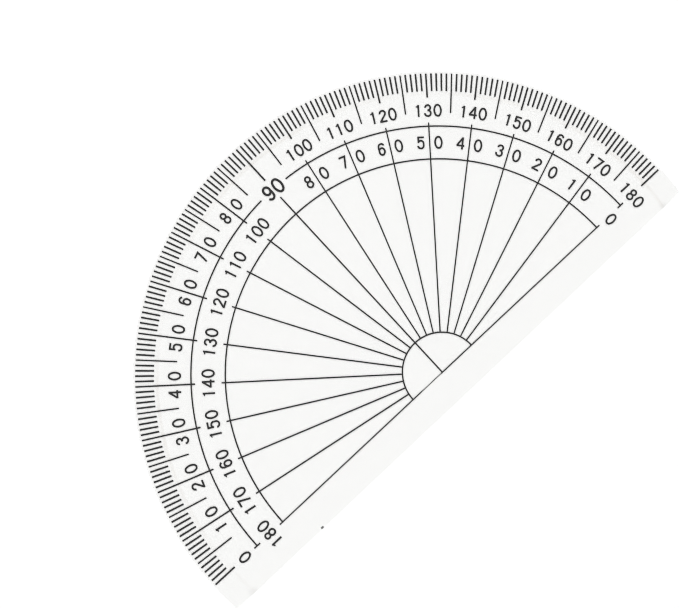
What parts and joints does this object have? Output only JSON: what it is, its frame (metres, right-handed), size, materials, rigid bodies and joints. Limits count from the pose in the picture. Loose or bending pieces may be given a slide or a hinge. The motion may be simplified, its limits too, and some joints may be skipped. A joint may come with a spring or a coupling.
{
  "type": "protractor",
  "caption": "Clear half-round plastic protractor: bevelled rim, straight edge, and degree scales reading both ways, hot-stamped into the flat back.",
  "frame": {"origin": "the vertex, where the baseline meets the 90 degree line, on the flat printed back that lies on the paper", "axes": "+X along the baseline to the end where the outer scale reads 180, +Y up the 90 degree line to the rim, +Z out of the bevelled front, towards the reader"},
  "size_m": [0.1, 0.0551, 0.0012],
  "materials": {
    "clear_plastic": "water-clear moulded polystyrene, polished faces, fine handling scratches",
    "black_print": "black hot-stamping foil, satin"
  },
  "bodies": {
    "root": {"plate": "clear_plastic", "one_degree_ticks": "black_print", "five_degree_ticks": "black_print", "ten_degree_ticks": "black_print", "ten_degree_rim_lines": "black_print", "rays_10_to_80": "black_print", "rays_100_to_170": "black_print", "outer_arc": "black_print", "inner_arc": "black_print", "centre_arc": "black_print", "baseline": "black_print", "ninety_line": "black_print", "outer_numbers": "black_print", "inner_numbers": "black_print", "ninety_number": "black_print"}
  },
  "joints": []
}
